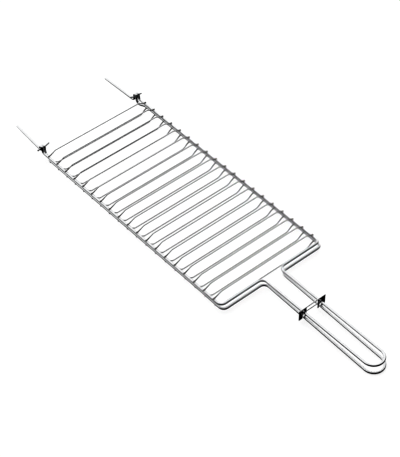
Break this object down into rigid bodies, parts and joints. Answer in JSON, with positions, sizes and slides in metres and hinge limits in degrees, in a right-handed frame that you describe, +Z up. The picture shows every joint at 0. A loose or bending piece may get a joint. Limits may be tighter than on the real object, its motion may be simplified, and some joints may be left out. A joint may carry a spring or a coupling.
{
  "type": "grill basket",
  "caption": "Long hinged wire grill basket with a two-part loop handle, a sliding clasp and two support prongs.",
  "frame": {"origin": "on the surface it stands on, under the middle of the whole basket's length and width", "axes": "+X from the support prongs towards the end of the handle, +Y across the basket, +Z up out of the upper grid"},
  "size_m": [0.8389, 0.2414, 0.0309],
  "materials": {
    "frame_rod": "bright plated drawn rod",
    "grid_wire": "bright plated drawn wire",
    "hinge_wire": "bright plated wire with cut ends",
    "clasp_sheet": "bright plated stamped sheet"
  },
  "bodies": {
    "lower_half": {"lower_frame": "frame_rod", "lower_wire_01": "grid_wire", "lower_wire_02": "grid_wire", "lower_wire_03": "grid_wire", "lower_wire_04": "grid_wire", "lower_wire_05": "grid_wire", "lower_wire_06": "grid_wire", "lower_wire_07": "grid_wire", "lower_wire_08": "grid_wire", "lower_wire_09": "grid_wire", "lower_wire_10": "grid_wire", "lower_wire_11": "grid_wire", "lower_wire_12": "grid_wire", "lower_wire_13": "grid_wire", "lower_wire_14": "grid_wire", "lower_wire_15": "grid_wire", "lower_wire_16": "grid_wire", "lower_wire_17": "grid_wire", "lower_wire_18": "grid_wire", "lower_wire_19": "grid_wire", "hinge_pin_left": "hinge_wire", "hinge_pin_right": "hinge_wire"},
    "lid": {"upper_frame": "frame_rod", "upper_wire_01": "grid_wire", "upper_wire_02": "grid_wire", "upper_wire_03": "grid_wire", "upper_wire_04": "grid_wire", "upper_wire_05": "grid_wire", "upper_wire_06": "grid_wire", "upper_wire_07": "grid_wire", "upper_wire_08": "grid_wire", "upper_wire_09": "grid_wire", "upper_wire_10": "grid_wire", "upper_wire_11": "grid_wire", "upper_wire_12": "grid_wire", "upper_wire_13": "grid_wire", "upper_wire_14": "grid_wire", "upper_wire_15": "grid_wire", "upper_wire_16": "grid_wire", "upper_wire_17": "grid_wire", "upper_wire_18": "grid_wire", "upper_wire_19": "grid_wire"},
    "clasp": {"handle_clasp": "clasp_sheet"}
  },
  "joints": [
    {"name": "lid_hinge", "type": "hinge", "parent": "lower_half", "child": "lid", "pos_m": [-0.33284, 0, 0.02485], "axis": [0, -1, 0], "range_deg": [0, 180]},
    {"name": "clasp_slide", "type": "slide", "parent": "lid", "child": "clasp", "axis": [1, 0, 0.0052], "range_m": [-0.08, 0.135]}
  ]
}
